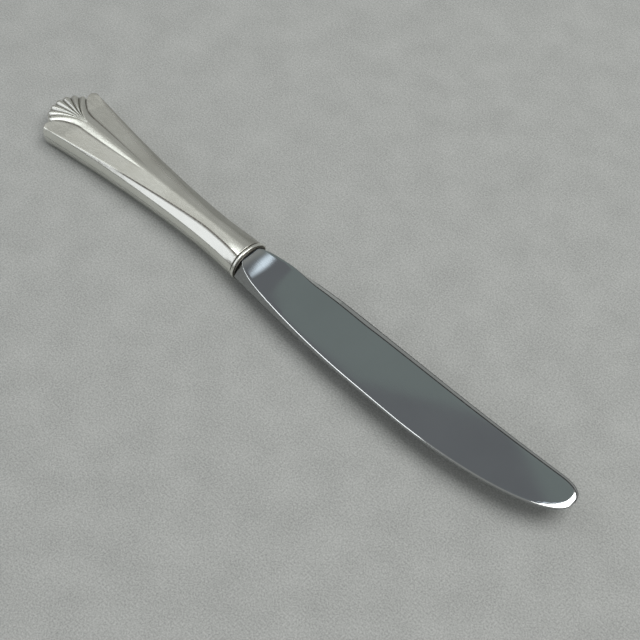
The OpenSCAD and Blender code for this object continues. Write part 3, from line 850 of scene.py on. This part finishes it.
def cementFinish():
    look = cementLook
    finish = newFinish("grittyCement")
    tree = finish.node_tree
    grit = cloud(tree, objectPlace(tree), look["gritScale"], 6.0)
    colour = blendColour(tree, spread(tree, grit, 0, 1, 0.35), look["colour"], look["colour2"])
    coat(tree, {"Base Color": colour, "Roughness": look["rough"],
                "Normal": bumps(tree, grit, look["bump"], look["depth"])})
    return finish


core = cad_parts["cement_core"]
core.data.materials.clear()
core.data.materials.append(cementFinish())

fitted = [
    (handleFront, silver, "handle_front", "silver"),
    (handleBack, silver, "handle_back", "silver"),
    (seamLine, solderGrey, "seam_solder", "solder"),
    (mouthCollar, collarSilver, "mouth_collar", "collar_silver"),
    (knifeBlade, steel, "blade", "blade_steel"),
]
for piece, finish, node, slotName in fitted:
    piece.data.materials.append(finish)
    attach(piece, "root")
    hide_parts(node)
print("finishes on", len(fitted), "pieces and the core")

# The table it lies on, the light and the camera, in metres
table = {
    "half": 3.0, "colour": (0.315, 0.323, 0.314, 1), "colour2": (0.51, 0.52, 0.508, 1),
    "patchScale": 0.1, "patchShare": 0.2, "grainScale": 2.4, "grainShare": 0.8,
    "rough": 0.85, "shine": 0.25, "bump": 0.1, "depth": 0.0002,
}


def tableTop():
    mesh = bpy.data.meshes.new("tableTop")
    r = table["half"]
    mesh.from_pydata([(-r, -r, 0), (r, -r, 0), (r, r, 0), (-r, r, 0)], [], [(0, 1, 2, 3)])
    top = bpy.data.objects.new("tableTop", mesh)
    bpy.context.scene.collection.objects.link(top)
    finish = newFinish("paleTable")
    tree = finish.node_tree
    place = objectPlace(tree)
    broad = cloud(tree, place, table["patchScale"], 8.0)
    grain = cloud(tree, place, table["grainScale"], 3.0)
    tone = calc(tree, "ADD", calc(tree, "MULTIPLY", broad, table["patchShare"]),
                calc(tree, "MULTIPLY", grain, table["grainShare"]))
    colour = blendColour(tree, spread(tree, tone, 0, 1, 0.35), table["colour"], table["colour2"])
    coat(tree, {"Base Color": colour, "Roughness": table["rough"], "Specular IOR Level": table["shine"],
                "Normal": bumps(tree, grain, table["bump"], table["depth"])})
    mesh.materials.append(finish)


tableTop()

# Each lamp faces the knife, the flat ones face straight down
lamps = {
    "mainDisk": {"place": (0.41, 0.4, 1.25), "size": (1.13, 1.13), "watts": 11.6,
                 "colour": (1.0, 0.997, 0.985), "shape": "DISK"},
    "ceilingCard": {"place": (-0.9, 0.12, 1.0), "size": (0.8, 0.76), "watts": 0.44,
                    "colour": (1.0, 1.0, 0.98), "flat": True},
    "brightCard": {"place": (-0.9, -0.045, 0.99), "size": (0.8, 0.43), "watts": 0.85,
                   "colour": (0.93, 0.99, 1.0), "flat": True},
    "sheenCard": {"place": (-0.41, -0.4, 1.0), "size": (0.34, 0.6), "watts": 1.8,
                  "colour": (0.97, 0.99, 1.0), "flat": True, "sheenOnly": True},
    "windowCard": {"place": (-0.545, -0.545, 0.464), "size": (1.15, 0.45), "watts": 1.17,
                   "colour": (0.885, 0.92, 1.0)},
}
for name, lamp in lamps.items():
    data = bpy.data.lights.new(name, "AREA")
    data.shape = lamp.get("shape", "RECTANGLE")
    data.size, data.size_y = lamp["size"]
    data.energy = lamp["watts"]
    data.color = lamp["colour"]
    holder = bpy.data.objects.new(name, data)
    holder.location = lamp["place"]
    if not lamp.get("flat"):
        holder.rotation_euler = Vector(lamp["place"]).to_track_quat("Z", "Y").to_euler()
    holder.visible_diffuse = not lamp.get("sheenOnly", False)       # shows in the metal only
    bpy.context.scene.collection.objects.link(holder)

# Room: grey, dimmer near the floor and low on the window side, with a lighter far wall and a dim
# ceiling over it that has a lighter strip and a small lamp. A span is where a patch ends and where
# it is full, in degrees from its way.
room = {
    "even": (0.33, 0.332, 0.32, 1), "low": (0.19, 0.19, 0.186, 1), "lowTo": (0.1, 0.4),
    "gap": {"colour": (0.11, 0.11, 0.107, 1), "way": (-0.45, -0.45, 0.85), "span": (15, 9)},
    "far": {"colour": (0.31, 0.315, 0.305, 1), "way": (-0.38, 0.9, 0.2), "span": (38, 26)},
    "dim": {"colour": (0.168, 0.176, 0.187, 1), "way": (-0.34, 0.47, 1.0), "span": (12, 8)},
    "strip": (0.205, 0.235, 0.232, 1),
    "stripEdges": {(-0.5, 1.0, -0.705): 0.002, (0.5, 1.0, -0.378): 0.005},      # each with its softness
    "lamp": (1.0, 1.13, 1.25, 1),
    "lampAcross": (0, 1, -0.463), "lampWide": (0.018, 0.004),
    "lampAlong": (1, 0, 0.21), "lampLong": (0.07, 0.01),
}


def roomLight():
    world = bpy.data.worlds.new("room")
    bpy.context.scene.world = world
    world.use_nodes = True
    tree = world.node_tree
    tree.nodes.clear()
    way = add(tree, "ShaderNodeTexCoord").outputs["Generated"]

    def facing(direction, low, high, bothSides=False):
        dot = add(tree, "ShaderNodeVectorMath", {0: way, 1: direction}, operation="DOT_PRODUCT")
        amount = dot.outputs["Value"]
        if bothSides:
            amount = calc(tree, "ABSOLUTE", amount)
        return add(tree, "ShaderNodeMapRange", {"Value": amount, "From Min": low, "From Max": high},
                   interpolation_type="SMOOTHSTEP").outputs["Result"]

    # a round patch on the walls or ceiling
    def patch(spot):
        end, full = (cos(radians(a)) for a in spot["span"])
        return facing(Vector(spot["way"]).normalized(), end, full)

    colour = blendColour(tree, facing((0, 0, 1), *room["lowTo"]), room["low"], room["even"])
    for spot in (room["gap"], room["far"]):
        colour = blendColour(tree, patch(spot), colour, spot["colour"])
    strip = 0.0
    for edge, soft in room["stripEdges"].items():
        strip = calc(tree, "MAXIMUM", facing(edge, -soft, soft), strip)
    ceiling = blendColour(tree, strip, room["dim"]["colour"], room["strip"])
    lamp = calc(tree, "MULTIPLY", facing(room["lampAcross"], *room["lampWide"], True),
                facing(room["lampAlong"], *room["lampLong"], True))
    ceiling = blendColour(tree, lamp, ceiling, room["lamp"])
    colour = blendColour(tree, patch(room["dim"]), colour, ceiling)
    back = add(tree, "ShaderNodeBackground", {"Color": colour, "Strength": 1.0})
    add(tree, "ShaderNodeOutputWorld", {"Surface": back.outputs["Background"]})


roomLight()

view = {
    "place": (0.146644, -0.138972, 0.284712), "right": (0.70636, 0.70770, 0.01444),
    "down": (0.58854, -0.57585, -0.56747), "ahead": (-0.39328, 0.40934, -0.82327),
    "angle": 26, "sensor": 36, "near": 0.01,
}
lens = bpy.data.cameras.new("view")
lens.sensor_width = view["sensor"]
lens.lens = view["sensor"] / 2 / tan(radians(view["angle"] / 2))
lens.clip_start = view["near"]
camera = bpy.data.objects.new("view", lens)
axes = Matrix((view["right"], [-d for d in view["down"]], [-d for d in view["ahead"]])).transposed()
camera.matrix_world = Matrix.Translation(view["place"]) @ axes.to_4x4()
bpy.context.scene.collection.objects.link(camera)
bpy.context.scene.camera = camera
bpy.context.scene.view_settings.view_transform = "Standard"
print("table, light and camera set")

bpy.context.view_layer.update()
